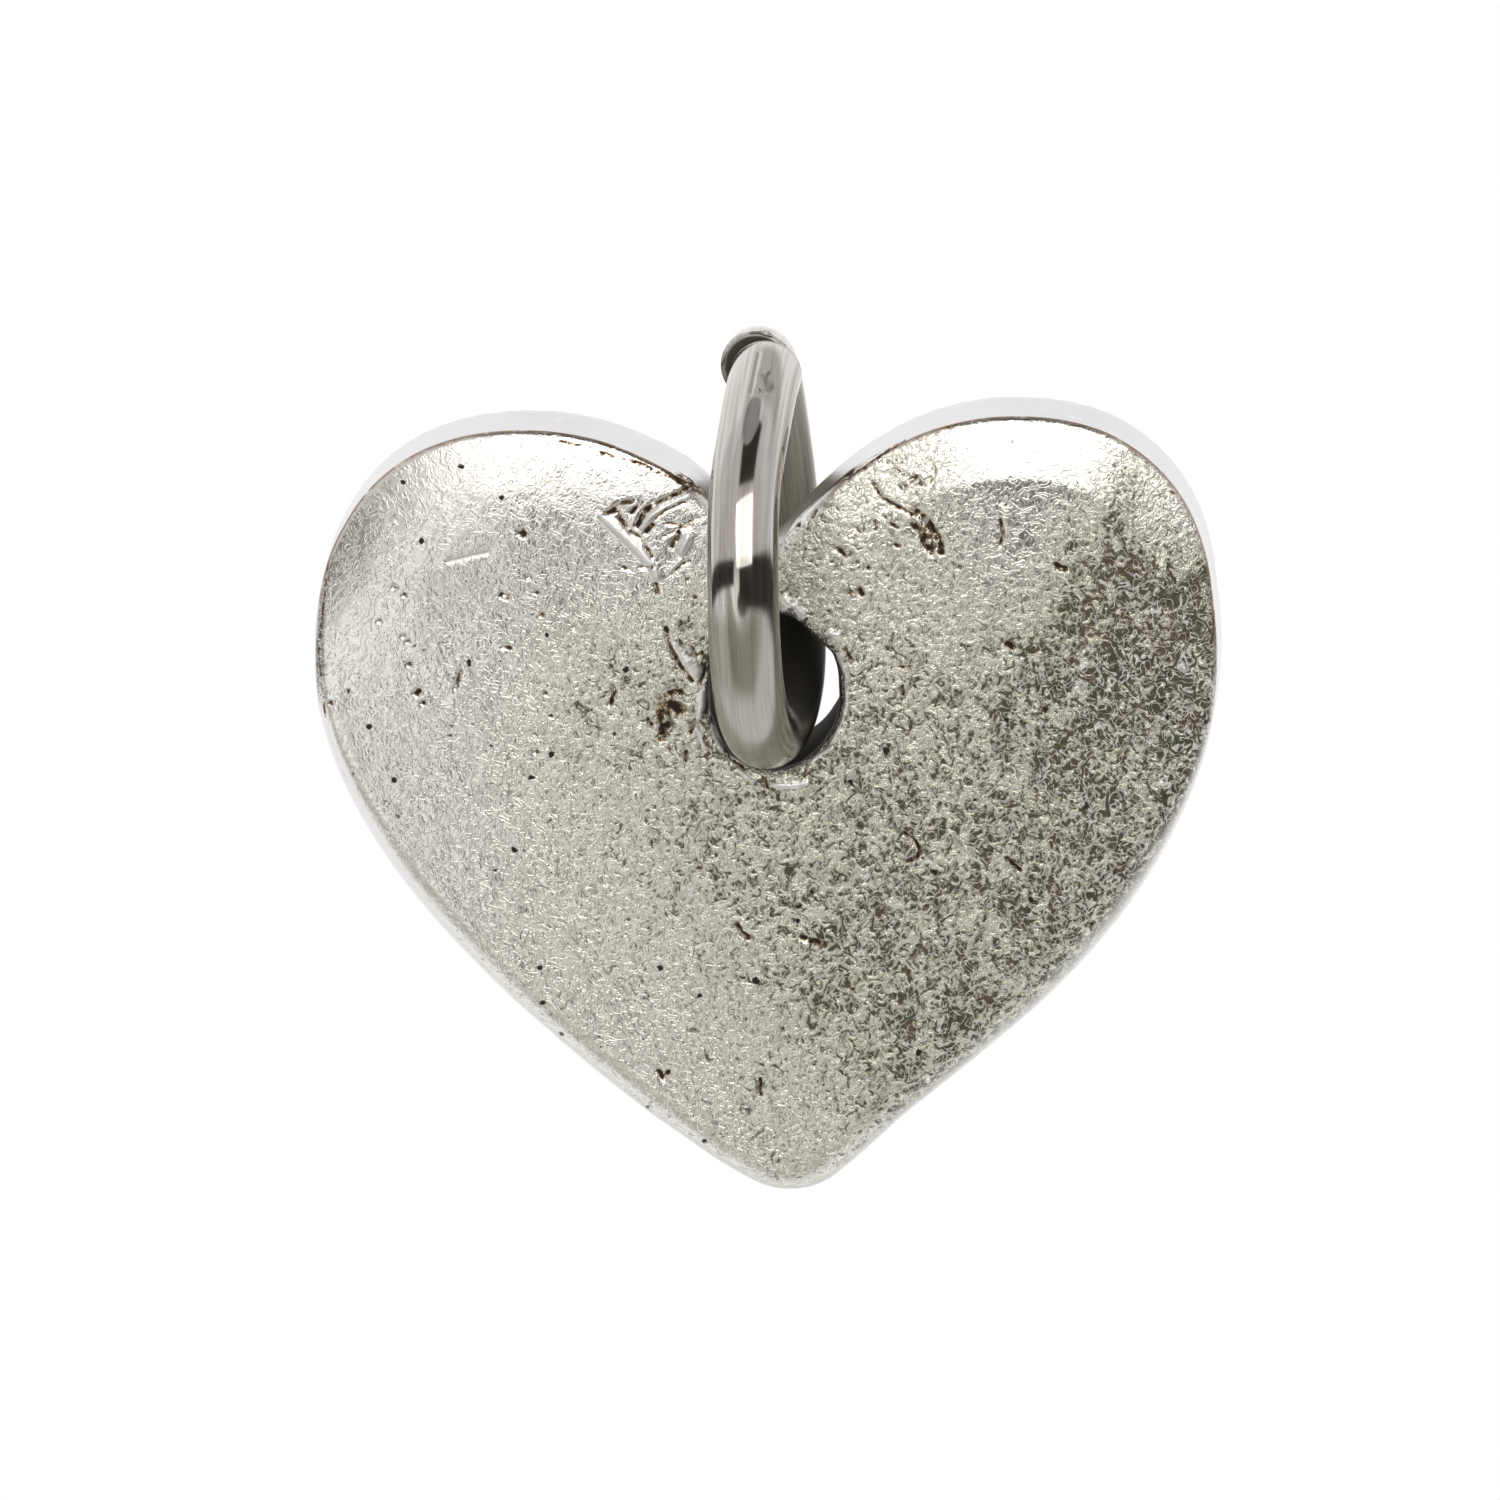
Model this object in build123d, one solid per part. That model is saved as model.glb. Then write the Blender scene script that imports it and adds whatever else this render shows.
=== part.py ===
"""A cast metal heart charm on an open wire jump ring, in millimetres.

The origin is the middle of the jump ring. +X runs across the heart, +Y goes back through its
thickness and +Z is up. The ring stands in the YZ plane and passes through the heart's hole.
"""

from build123d import *

import math
import os

# Jump ring: round wire bent to a circle, whose cut ends just miss each other
wire_diameter = 1.2
ring_bore = 5.0
ring_gap = 0.12
end_side_step = 0.14
end_height_step = 0.08

# How far the ring stands turned about Z in the hole, in degrees
ring_turn = -2.8

# Heart outline, seen from the front
heart_width = 15.24
heart_height = 13.26
lobe_spacing = 8.23
widest_drop = 3.74
notch_depth = 2.15
notch_radius = 0.4
notch_flank_angle = 50.0
tip_radius = 1.4
tip_flank_angle = 39.4

# Heart section: flat back, domed front, tumbled edges
heart_thickness = 2.25
dome_rise = 0.25
front_edge_radius = 0.3
back_edge_radius = 0.45

# Hole, set off the heart's middle line as drilled, and the wire's play in it
hole_side_play = 0.54
hole_play_below = 0.12
hole_play_above = 0.41
hole_offset = 0.09
hole_rim_chamfer = 0.12
web_height = 1.0

# How far the heart's middle lies behind the ring's middle, as a share of the bore's radius
setback_share = 0.35

# Points of the outline, as (across, down) shares of the stretch that each one lies on
inner_lobe_share = (0.44, 0.174)
shoulder_share = (0.69, 0.222)
upper_flank_share = (0.077, 0.281)
lower_flank_share = (0.353, 0.604)

wire_radius = wire_diameter / 2
ring_radius = (ring_bore + wire_diameter) / 2


def ring_half(turn_radius, side, lean):
    """Half of the ring, from the bottom up to its cut end, on one side of the XZ plane."""
    section = Plane.XZ * Pos(0, -ring_radius) * Circle(wire_radius)
    middle = turn_radius - ring_radius
    half_gap = math.degrees(ring_gap / 2 / turn_radius)
    axis = Axis((0, 0, middle), (1, 0, 0))
    half = revolve(section, axis, side * (180 - half_gap))
    return half.rotate(Axis((0, 0, -ring_radius), (0, 1, 0)), lean)


def make_jump_ring():
    """Both halves share their bottom section, and their ends miss each other by a little."""
    lean = math.degrees(math.atan(end_side_step / 2 / (2 * ring_radius)))
    reach = end_height_step / 4
    back = ring_half(ring_radius + reach, 1, -lean)
    front = ring_half(ring_radius - reach, -1, lean)
    return (back + front).rotate(Axis.Z, ring_turn)


def make_heart():
    """The heart, with its hole placed round the wire."""
    half_width = heart_width / 2
    half_thickness = heart_thickness / 2
    bore_radius = ring_bore / 2
    heart_setback = bore_radius * setback_share
    back_face = heart_setback + half_thickness
    hole_width = wire_diameter + 2 * hole_side_play

    # The wire's lowest point sits above the hole's floor. The bore's height at the far face
    # settles where the hole's roof has to be.
    hole_floor = -(ring_radius + wire_radius + hole_play_below)
    hole_roof = hole_play_above - math.sqrt(bore_radius**2 - back_face**2)
    hole_middle = (hole_roof + hole_floor) / 2

    notch_floor = hole_roof + web_height
    lobe_top = notch_floor + notch_depth
    tip = lobe_top - heart_height
    widest = lobe_top - widest_drop
    lobe_x = lobe_spacing / 2

    notch_turn = math.radians(notch_flank_angle)
    tip_turn = math.radians(tip_flank_angle)
    notch_end = (
        notch_radius * math.sin(notch_turn),
        notch_floor + notch_radius * (1 - math.cos(notch_turn)),
    )
    tip_end = (
        tip_radius * math.sin(tip_turn),
        tip + tip_radius * (1 - math.cos(tip_turn)),
    )
    inner_lobe = (
        lobe_x * (1 - inner_lobe_share[0]),
        lobe_top - notch_depth * inner_lobe_share[1],
    )
    shoulder = (
        lobe_x + (half_width - lobe_x) * shoulder_share[0],
        lobe_top - widest_drop * shoulder_share[1],
    )
    flank_height = widest - tip
    upper_flank = (
        half_width * (1 - upper_flank_share[0]),
        widest - flank_height * upper_flank_share[1],
    )
    lower_flank = (
        half_width * (1 - lower_flank_share[0]),
        widest - flank_height * lower_flank_share[1],
    )
    up_from_notch = (math.cos(notch_turn), math.sin(notch_turn))
    in_to_tip = (-math.cos(tip_turn), -math.sin(tip_turn))

    inner = Spline(notch_end, inner_lobe, (lobe_x, lobe_top), tangents=(up_from_notch, (1, 0)))
    outer = Spline(
        (lobe_x, lobe_top),
        shoulder,
        (half_width, widest),
        tangents=((1, 0), (0, -1)),
    )
    flank = Spline(
        (half_width, widest),
        upper_flank,
        lower_flank,
        tip_end,
        tangents=((0, -1), in_to_tip),
    )
    notch_arc = Spline(
        (-notch_end[0], notch_end[1]),
        (0, notch_floor),
        notch_end,
        tangents=((up_from_notch[0], -up_from_notch[1]), up_from_notch),
    )
    tip_arc = Spline(
        tip_end,
        (0, tip),
        (-tip_end[0], tip_end[1]),
        tangents=(in_to_tip, (in_to_tip[0], -in_to_tip[1])),
    )
    right_side = [inner, outer, flank]
    left_side = [mirror(edge, Plane.YZ) for edge in right_side]
    outline = make_face([*right_side, tip_arc, *left_side, notch_arc])

    plate = Plane.XZ.offset(-back_face) * extrude(outline, heart_thickness)

    # The front is part of a large ball, proud in the middle by dome_rise
    dome_radius = (half_width**2 + dome_rise**2) / (2 * dome_rise)
    front_face = heart_setback - half_thickness
    dome_height = (lobe_top + tip) / 2
    plate &= Pos(0, front_face + dome_radius, dome_height) * Sphere(dome_radius)

    back_edges = plate.faces().sort_by(Axis.Y)[-1].edges()
    plate = fillet(back_edges, back_edge_radius)
    front_edges = plate.faces().sort_by(Axis.Y)[0].edges()
    plate = fillet(front_edges, front_edge_radius)
    plate = Pos(-hole_offset, 0, 0) * plate

    # The drilled hole is drawn out downwards to an oval with straight sides
    oval = SlotCenterToCenter(hole_roof - hole_floor - hole_width, hole_width, rotation=90)
    plate -= Plane.XZ.offset(-back_face) * Pos(0, hole_middle) * extrude(oval, heart_thickness)
    hole_wall = plate.faces().sort_by_distance((0, heart_setback, hole_roof))[0]
    rims = hole_wall.edges().filter_by(GeomType.LINE, reverse=True)
    return chamfer(rims, hole_rim_chamfer)


def main():
    os.makedirs("parts", exist_ok=True)
    export_step(make_jump_ring(), "parts/jump_ring.step")
    export_step(make_heart(), "parts/heart.step")


main()
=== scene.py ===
"""Looks of a cast heart charm on its open jump ring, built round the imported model, in metres."""

import math

import bmesh
import bpy
from bpy.props import FloatProperty, FloatVectorProperty, IntProperty, PointerProperty
from bpy.types import Operator, Panel, PropertyGroup
from mathutils import Matrix, Vector, geometry, noise
from mathutils.bvhtree import BVHTree
from mathutils.kdtree import KDTree


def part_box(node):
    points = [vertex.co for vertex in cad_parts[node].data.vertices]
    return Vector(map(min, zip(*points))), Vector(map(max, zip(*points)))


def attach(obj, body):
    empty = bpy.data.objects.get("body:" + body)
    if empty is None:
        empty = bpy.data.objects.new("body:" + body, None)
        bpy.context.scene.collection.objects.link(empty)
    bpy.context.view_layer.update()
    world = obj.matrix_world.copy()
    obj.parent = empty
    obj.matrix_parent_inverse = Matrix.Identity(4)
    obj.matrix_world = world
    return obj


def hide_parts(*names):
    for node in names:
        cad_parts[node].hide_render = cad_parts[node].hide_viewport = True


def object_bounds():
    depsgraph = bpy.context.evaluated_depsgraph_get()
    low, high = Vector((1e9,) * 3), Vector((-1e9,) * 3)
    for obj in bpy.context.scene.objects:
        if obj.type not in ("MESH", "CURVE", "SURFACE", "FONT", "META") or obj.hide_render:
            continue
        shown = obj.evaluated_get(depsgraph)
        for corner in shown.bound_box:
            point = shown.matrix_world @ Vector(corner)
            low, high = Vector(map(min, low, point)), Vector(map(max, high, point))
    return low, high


bl_info = {
    "name": "Heart Charm",
    "version": (1, 0, 0),
    "blender": (4, 5, 0),
    "location": "View3D > Sidebar > Charm",
    "description": "Dresses a cast heart charm and its jump ring, and sets them on a plain stage",
    "category": "Object",
}

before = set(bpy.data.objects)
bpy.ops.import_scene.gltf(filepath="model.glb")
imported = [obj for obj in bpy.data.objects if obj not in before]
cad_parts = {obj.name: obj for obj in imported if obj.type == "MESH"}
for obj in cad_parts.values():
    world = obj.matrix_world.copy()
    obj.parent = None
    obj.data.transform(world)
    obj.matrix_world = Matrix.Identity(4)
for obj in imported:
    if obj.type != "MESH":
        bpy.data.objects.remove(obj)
cad_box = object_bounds()

MM = 0.001
PER_MM = 1 / MM

# The photograph: its size, scale and view, and the pixel of the ring's middle
PHOTO_WIDTH = 1500
PHOTO_SCALE = 59.7
PHOTO_AZIMUTH = 4.0
PHOTO_ELEVATION = 15.0
PHOTO_ROLL = 2.47
RING_MIDDLE_PIXEL = (767.5, 548.0)

HEART_LOW, HEART_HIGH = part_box("heart")
HEART_FRONT = HEART_LOW.y
HEART_BACK = HEART_HIGH.y
HEART_CENTRE = Vector(((HEART_LOW.x + HEART_HIGH.x) / 2, (HEART_LOW.z + HEART_HIGH.z) / 2))
HALF_WIDTH = (HEART_HIGH.x - HEART_LOW.x) / 2

# The hole: an upright oval, as half its width and the heights of its two arcs' centres
HOLE_RADIUS = 1.14 * MM
HOLE_UPPER = -2.23 * MM
HOLE_LOWER = -2.68 * MM

# How deep behind the foremost point the heart's mesh is cut finer, is cut again round marks and is
# pressed by them, and the height from which the wall is cut finer
FINE_DEPTH = 0.55 * MM
MARKED_DEPTH = 0.45 * MM
PRESSED_DEPTH = 0.7 * MM
FINE_WALL = -2.5 * MM

# How far past its round an edge's skin is spaced anew, and how far in the outline's shift reaches
HOLE_MARGIN = 0.2 * MM
EDGE_MARGIN = 0.12 * MM
SHIFT_REACH = 1.5 * MM

# The notch's edge, in degrees to each side of the notch, and the depths where its wall turns bare
NOTCH_SPAN = 14
NOTCH_BARE = (0.22 * MM, 0.4 * MM)

# The dark line on the lobes' crisp edge: its depth, its width and the thin film beside it
DIRT_DEPTH = 0.05 * MM
DIRT_WIDTH = 0.055 * MM
DIRT_FILM = 0.07

# The lobes' roll-off at the left and at the right: how far in it reaches, and its curve's power
ROLL_LEFT = (1.9 * MM, 2)
ROLL_RIGHT = (1.0 * MM, 1.15)

# Round the outline, in degrees clockwise from the notch: the front edge's radius in millimetres
EDGE_ROUNDS = (
    (0, 0.30), (9, 0.20), (16, 0.07), (60, 0.07), (70, 0.12), (80, 0.26), (88, 0.42), (100, 0.65),
    (113, 0.88), (138, 0.85), (160, 0.7), (180, 0.5), (200, 0.5), (240, 0.52), (270, 0.4), (290, 0.2),
    (302, 0.08), (344, 0.07), (352, 0.2), (360, 0.30),
)

# Round the outline again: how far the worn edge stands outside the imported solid's, in millimetres
EDGE_SHIFTS = (
    (0, 0.0), (18, -0.04), (30, 0.04), (42, 0.05), (54, 0.0), (66, -0.09), (78, -0.015), (90, 0.065),
    (102, 0.124), (111, 0.15), (120, 0.13), (132, 0.094), (144, 0.057), (162, 0.01), (174, 0.065),
    (180, 0.07), (186, 0.03), (192, 0.085), (204, 0.103), (216, 0.046), (228, -0.007), (246, -0.02),
    (264, 0.016), (285, 0.04), (294, -0.025), (306, -0.08), (324, 0.0), (336, 0.04), (342, 0.085),
    (348, 0.21), (354, 0.14), (360, 0.02),
)

# Round the hole, in degrees clockwise from its top: how far burrs and wear close it, in millimetres
HOLE_CLOSING = (
    (0, 0.03), (20, 0.05), (35, 0.11), (46, 0.145), (58, 0.12), (69, 0.06), (90, 0.045), (100, 0.07),
    (123, 0.105), (144, 0.09), (160, 0.05), (180, 0.03), (225, 0.03), (240, 0.07), (252, 0.1),
    (270, 0.07), (300, 0.1), (340, 0.08), (360, 0.03),
)

# The patina's soft patches over the front: pixel, reach in pixels, and amount from 0 to 1
PATINA_PATCHES = (
    (350, 620, 120, 0.0), (430, 480, 90, 0.0), (480, 640, 110, 0.1), (600, 560, 70, 0.0),
    (620, 700, 90, 0.85), (560, 820, 110, 0.35), (640, 1000, 110, 0.2), (700, 880, 120, 0.75),
    (760, 1100, 70, 0.42), (680, 1140, 60, 0.25), (850, 960, 100, 1.05), (900, 600, 90, 0.5),
    (930, 760, 110, 0.85), (1010, 560, 60, 0.06), (1040, 460, 60, 0.0), (1140, 600, 90, 1.3),
    (1080, 720, 90, 1.2), (1180, 520, 40, 0.0), (1000, 860, 90, 0.95), (1080, 860, 70, 1.2),
    (880, 500, 50, 0.4), (440, 850, 90, 0.05), (750, 820, 60, 0.9), (560, 470, 60, 0.05),
)

# Marks on the heart's front: half the width in pixels, how far each stands proud in thousandths of
# a millimetre, its finish (rubbed metal where proud, else a brown stain, which on a few marks is
# painted shadow) and its line's pixels
HEART_MARKS = (
    # Pits of the left half
    (4.5, -60, 0.8, 523, 533), (3, -50, 0.9, 502, 595, 507, 597), (2.5, -45, 0.9, 542, 615),
    (2.5, -40, 0.7, 537, 592), (2.5, -40, 0.9, 574, 627), (2.5, -35, 0.8, 529, 577),
    (3.2, -50, 1, 417, 693, 419, 691), (2.5, -45, 0.9, 423, 703), (2.5, -45, 0.9, 409, 664),
    (2, -35, 0.8, 403, 636), (2, -35, 0.8, 408, 641), (2.5, -35, 0.8, 330, 703), (2.5, -40, 0.9, 536, 752),
    (2, -35, 0.8, 379, 621), (2.5, -40, 0.9, 394, 587), (2.2, -40, 0.9, 404, 595),
    (1.8, -30, 0.7, 455, 688, 460, 671), (2, -30, 0.7, 503, 647, 510, 648), (2, -30, 0.7, 546, 693),
    (2, -35, 0.8, 551, 716), (1.6, -19, 0.3, 447, 562, 490, 552), (1.6, 1, 0.4, 447, 562, 490, 552),
    # The gouge left of the notch, with its burr
    (4, 34, 1, 603, 517, 620, 532, 636, 548, 652, 566, 657, 576),
    (1.6, -25, 0.9, 602, 513, 617, 511, 630, 531, 641, 538, 652, 556),
    (2.4, -45, 1, 613, 510, 624, 503, 632, 501), (2, -35, 0.8, 619, 518, 631, 531),
    (2.8, -55, 1, 638, 525, 645, 511, 655, 504), (2, -40, 0.9, 655, 504, 668, 498, 681, 492, 689, 487),
    (2, -30, 0.8, 631, 513, 641, 502), (2.8, -45, 1, 646, 531, 652, 525),
    (2.4, 24, 0.8, 643, 529, 650, 517, 657, 512, 675, 503, 690, 495, 700, 492),
    (2.4, 30, 1, 627, 506, 634, 504), (1.5, -18, 0.6, 655, 519, 668, 508, 685, 502),
    (1.8, -22, 0.6, 668, 523, 681, 525, 700, 517), (1.6, -20, 0.5, 664, 536, 680, 528, 692, 525),
    (3, -25, 0.7, 672, 546, 678, 537), (4.6, 46, 1, 682, 550, 688, 538), (2.2, 26, 0.8, 670, 571, 680, 561),
    (1.5, -26, 0.8, 672, 574, 682, 564, 690, 561), (1.8, -28, 0.7, 623, 567, 630, 570),
    (1.6, -32, 0.8, 641, 567, 652, 567), (2.8, -32, 0.7, 656, 585, 657, 592), (2, -32, 0.7, 688, 579),
    (2.3, -36, 0.8, 695, 597), (7, 0, 0.75, 677, 478, 690, 481, 703, 488),
    # The smooth crescent beside the wire and the dirt round it; the dark grooves along the crescent's
    # lower-left bank and beside the wire's left side are painted dark as shadow
    (2.4, 12, 1, 669, 635, 675, 647), (4, 14, 1, 675, 647, 686, 661), (6, 16, 1, 687, 662, 695, 673),
    (2, -50, 1, 666, 628, 670, 645, 680, 665, 692, 681), (2.2, -45, 1, 705, 665, 706, 672, 702, 682),
    (2.3, -45, 1, 709, 690, 711, 700, 708, 712), (3.2, 40, 1, 703, 690, 702, 705, 697, 718),
    (1.8, -32, 0.8, 697, 716, 693, 724), (2, -30, 0.7, 690, 645, 697, 655), (2.5, -32, 0.8, 702, 653),
    (2.4, -36, 0.9, 690, 628), (1.8, -36, 0.9, 650, 662),
    # The brown patch left of the hole
    (14, 0, 0.55, 667, 712), (8, -25, 0.9, 665, 701, 678, 707), (4.5, -36, 1, 662, 715, 662, 738),
    (4.5, -42, 1, 668, 724), (3.5, -30, 1, 671, 693, 681, 692), (2.6, -52, 1, 648, 720, 651, 725),
    (2, -42, 1, 669, 748, 675, 748), (2, -48, 1, 686, 752, 686, 760), (2, -36, 0.8, 657, 757),
    (2.2, -50, 1, 612, 686, 615, 692, 610, 704), (2.2, -36, 0.8, 612, 715), (2.2, -36, 0.8, 614, 734),
    # The web over the hole and the crumpled skin right of the notch, with the wire's shadow painted on the
    # web
    (3, 34, 1, 786, 529, 815, 506, 845, 480), (2.4, -30, 0.9, 818, 496, 835, 484, 850, 472),
    (5.5, -12, 0.55, 851, 470, 868, 466), (2, -26, 0.9, 855, 465, 880, 450), (2.4, -34, 0.8, 798, 525),
    # The wide faint patch on this line is the wire's painted shadow on the web
    (2, -26, 0.6, 812, 518, 818, 508, 831, 505), (11, 0, 0.25, 812, 545, 820, 552),
    (2.2, -38, 0.9, 837, 548, 845, 555), (2, -34, 0.9, 819, 559), (1.8, -34, 0.8, 832, 562),
    (2, -34, 0.8, 853, 564, 857, 562), (2.4, -48, 1, 868, 568), (1.5, -26, 0.7, 854, 527, 860, 532),
    (1.5, -26, 0.7, 875, 520, 876, 530), (1.8, -30, 0.7, 885, 517), (1.6, -32, 0.8, 890, 523, 898, 528),
    (2, -32, 0.8, 895, 545, 899, 546), (2.6, -48, 1, 859, 589, 862, 594), (2, -30, 0.7, 849, 593, 853, 593),
    (1.5, -28, 0.7, 888, 463, 899, 471, 908, 476), (2.4, -42, 1, 911, 480, 916, 477),
    (2.2, -38, 0.9, 905, 486), (1.8, -36, 0.9, 922, 484), (1.5, -28, 0.7, 900, 486, 902, 492),
    (1.5, -20, 0.4, 932, 463, 935, 473, 930, 483), (1.8, -34, 0.8, 874, 484, 880, 496, 895, 505, 912, 515),
    (3.2, -45, 1, 917, 512, 925, 519, 932, 530, 940, 541, 941, 552), (4, -50, 1, 928, 522, 934, 534),
    (2.8, -36, 1, 913, 524, 920, 533, 925, 545, 931, 553), (6, -12, 0.6, 921, 528, 931, 546),
    (3, 48, 1, 784, 598, 790, 606), (4, 58, 1, 794, 604, 803, 617), (2.2, -30, 0.9, 806, 619),
    (3, 48, 1, 830, 633, 838, 635),
    # The broken dark line along the lobes' upper edges
    (1.8, 0, 0.75, 600, 452, 640, 463, 672, 478, 700, 494), (1.8, 0, 0.7, 560, 441, 580, 445),
    (1.8, 0, 0.75, 872, 462, 890, 449, 905, 441), (1.6, 0, 0.6, 935, 430, 960, 424),
    # The hole's rim
    (1.6, -12, 0.7, 827, 650, 836, 668, 840, 692, 837, 715, 827, 738, 812, 753),
    (2, 26, 0.8, 838, 655, 846, 676, 847, 700, 842, 722, 832, 742), (1.8, -24, 0.8, 845, 648, 852, 662),
    (2.4, 38, 1, 695, 729, 701, 736, 705, 746), (2, 34, 1, 712, 727, 717, 741, 722, 750),
    (1.8, -34, 0.9, 690, 733, 693, 727), (1.8, -34, 0.9, 704, 737, 710, 750),
    (2, 30, 1, 740, 772, 748, 778), (1.6, -30, 0.9, 731, 758, 745, 768),
    (1.8, -30, 0.8, 765, 779, 768, 788), (1.8, -30, 0.8, 806, 763, 805, 776),
    (2.2, 30, 1, 812, 762, 818, 756, 832, 748),
    # The right half
    (2.5, -45, 1, 1001, 502, 1005, 504), (2.5, -45, 1, 960, 567),
    (3, -48, 1, 1056, 564, 1060, 568, 1065, 569), (1.8, -30, 0.8, 1000, 520, 1003, 532, 1000, 545),
    (4, -48, 0.9, 1008, 643, 1013, 647), (2.2, -40, 0.9, 1033, 652), (1.8, -36, 0.9, 900, 667, 910, 667),
    (1.8, -36, 0.9, 903, 686, 903, 695), (3.4, -36, 0.8, 1045, 710),
    (2, -48, 1, 905, 833, 914, 840, 921, 850, 917, 858, 908, 861), (2, -46, 1, 1007, 858, 1020, 870),
    (2.2, -40, 0.9, 948, 850), (2.2, -40, 0.9, 927, 907), (1.8, -30, 0.8, 975, 800),
    (1.8, -30, 0.8, 953, 812), (1.8, -30, 0.8, 930, 825), (2.2, -42, 1, 1132, 847),
    (2, -40, 0.9, 1120, 865), (2.2, -42, 1, 1093, 925), (2, -40, 0.9, 1055, 940),
    # The tip's half
    (2.6, -58, 1, 737, 924, 741, 933, 748, 938), (1.6, 26, 1, 743, 921, 749, 932), (2.4, -46, 1, 699, 868),
    (1.5, 20, 1, 698, 877, 690, 896), (2, -36, 0.9, 686, 981), (2, -32, 0.8, 628, 920),
    (3, -46, 1, 802, 938, 811, 941, 824, 944), (2.4, -44, 1, 853, 990),
    (2.6, -52, 1, 658, 1072, 664, 1080, 668, 1073), (2, -40, 1, 760, 1080, 761, 1095),
    (2.4, 36, 1, 774, 785, 790, 786, 807, 783),
    # Dirt on the outer edges
    (1.6, 0, 0.5, 340, 520, 328, 560, 318, 650, 325, 720), (1.6, 0, 0.6, 1214, 545, 1216, 590, 1213, 630),
)

# The same on the wire
RING_MARKS = (
    (5.5, -55, 0.8, 766, 377, 769, 389), (3, -30, 0.5, 760, 392), (3, -40, 0.6, 767, 332),
    (1.5, -14, 0.5, 759, 354, 751, 394),
)

# How far a pressed surface has to face the camera, as a cosine. A mark's reach, its spots' spacing
# and the reach of the finer mesh, as shares of half its width.
FACING = 0.1
MARK_REACH = 1.6
MARK_STEP = 0.6
SPLIT_REACH = 1.5

# Round the outline again: how much of the lobes' roll-off there is
LOBE_SHARES = (
    (0, 0.0), (10, 0.25), (17, 0.75), (24, 1.0), (52, 1.0), (64, 0.8), (74, 0.0), (285, 0.0),
    (300, 0.8), (312, 1.0), (338, 1.0), (346, 0.6), (354, 0.15), (360, 0.0),
)


def length(name, description, default):
    """A size that a user may change, in metres."""
    return FloatProperty(name=name, description=description, default=default, unit="LENGTH", precision=5)


def colour(name, place, default):
    """A colour that a user may change."""
    return FloatVectorProperty(
        name=name, description=f"Colour of {place}", default=default, subtype="COLOR", size=3, min=0, max=1
    )


class HeartSettings(PropertyGroup):
    """Sizes and colours of the cast heart."""

    skin_step: length("Skin step", "Spacing of the skin's points at the back", 0.118 * MM)
    dome_rise: length("Dome rise", "How far the front's middle stands proud", 0.25 * MM)
    front_round: length("Front round", "Radius of the packed solid's front edge", 0.3 * MM)
    back_round: length("Back round", "Radius of the packed solid's back edge", 0.45 * MM)
    hole_bevel: length("Hole bevel", "Bevel of the packed solid's hole", 0.12 * MM)
    hole_round: length("Hole round", "Radius of the worn rim of the hole", 0.2 * MM)
    roll_depth: length("Roll depth", "How far the lobes' upper edges roll back", 0.23 * MM)
    swell: length("Swell", "Depth of the unevenness left by hand", 0.013 * MM)
    pebble: length("Pebble", "Depth of the casting skin's pebbles", 0.006 * MM)
    silver: colour("Silver", "the bare plate on walls and rubbed edges", (0.80, 0.79, 0.81))
    plate: colour("Plate", "the front's plate where it is clean", (0.925, 0.91, 0.885))
    skin: colour("Skin", "the front's plate between the patina", (0.87, 0.86, 0.715))
    patina: colour("Patina", "the dull patina in the hollows", (0.08, 0.085, 0.05))
    patina_warm: colour("Warm patina", "the patina's second shade", (0.12, 0.085, 0.06))
    rust: colour("Rust", "the brown stains", (0.30, 0.20, 0.11))
    # Near black: painted shade on the hole's wall, and the dark dirt in pores and deep stains
    shade_and_dirt: colour("Soot", "the hole's wall and of the pores", (0.03, 0.022, 0.015))
    ridge: colour("Ridge", "the skin's short pale ridges", (0.97, 0.96, 0.90))
    rubbed: colour("Rubbed", "rubbed marks", (0.95, 0.94, 0.95))


class RingSettings(PropertyGroup):
    """Sizes and colours of the jump ring."""

    wire: length("Wire", "Diameter of the wire", 1.2 * MM)
    bore: length("Bore", "Inner diameter of the ring", 5.0 * MM)
    gap: length("Gap", "Opening between the cut ends", 0.12 * MM)
    end_round: length("End round", "How far the cut ends are rounded off", 0.1 * MM)
    steps: IntProperty(name="Steps", description="Sections along the wire", default=320, min=24)
    sides: IntProperty(name="Sides", description="Sides of the wire", default=72, min=12)
    nickel: colour("Nickel", "the wire", (0.66, 0.63, 0.60))
    # Also the colour of the painted shade on the wire's lower front and inner back
    tarnish_and_shade: colour("Tarnish", "the wire's drawn lines and cut ends", (0.28, 0.265, 0.205))
    # Near black: painted shade on the wire's inner side, also darkening its cut ends
    shade_and_dirt: colour("Soot", "the wire's sheltered inner side", (0.035, 0.03, 0.022))


class StageSettings(PropertyGroup):
    """The floor, the lights and the camera."""

    distance: length("Distance", "From the camera to the ring", 900 * MM)
    floor_drop: length("Floor drop", "Clear height under the heart's tip", 11 * MM)
    lamp_distance: length("Lamp distance", "From the ring to the front soft box", 120 * MM)
    lamp_glow: FloatProperty(
        name="Lamp glow", description="Brightness of the soft box, where 1 is white", default=1.5, min=0
    )
    lamp_colour: colour("Lamp colour", "the front soft box", (1.0, 0.985, 0.95))
    floor_radius: length("Floor radius", "From the floor's middle to its rim", 17 * MM)
    floor_colour: colour("Floor colour", "the floor", (0.88, 0.875, 0.885))


def direction(azimuth, elevation):
    """Towards a place round the charm, in degrees to the right of the front and up."""
    a = math.radians(azimuth)
    e = math.radians(elevation)
    return Vector((math.sin(a) * math.cos(e), -math.cos(a) * math.cos(e), math.sin(e)))


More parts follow.
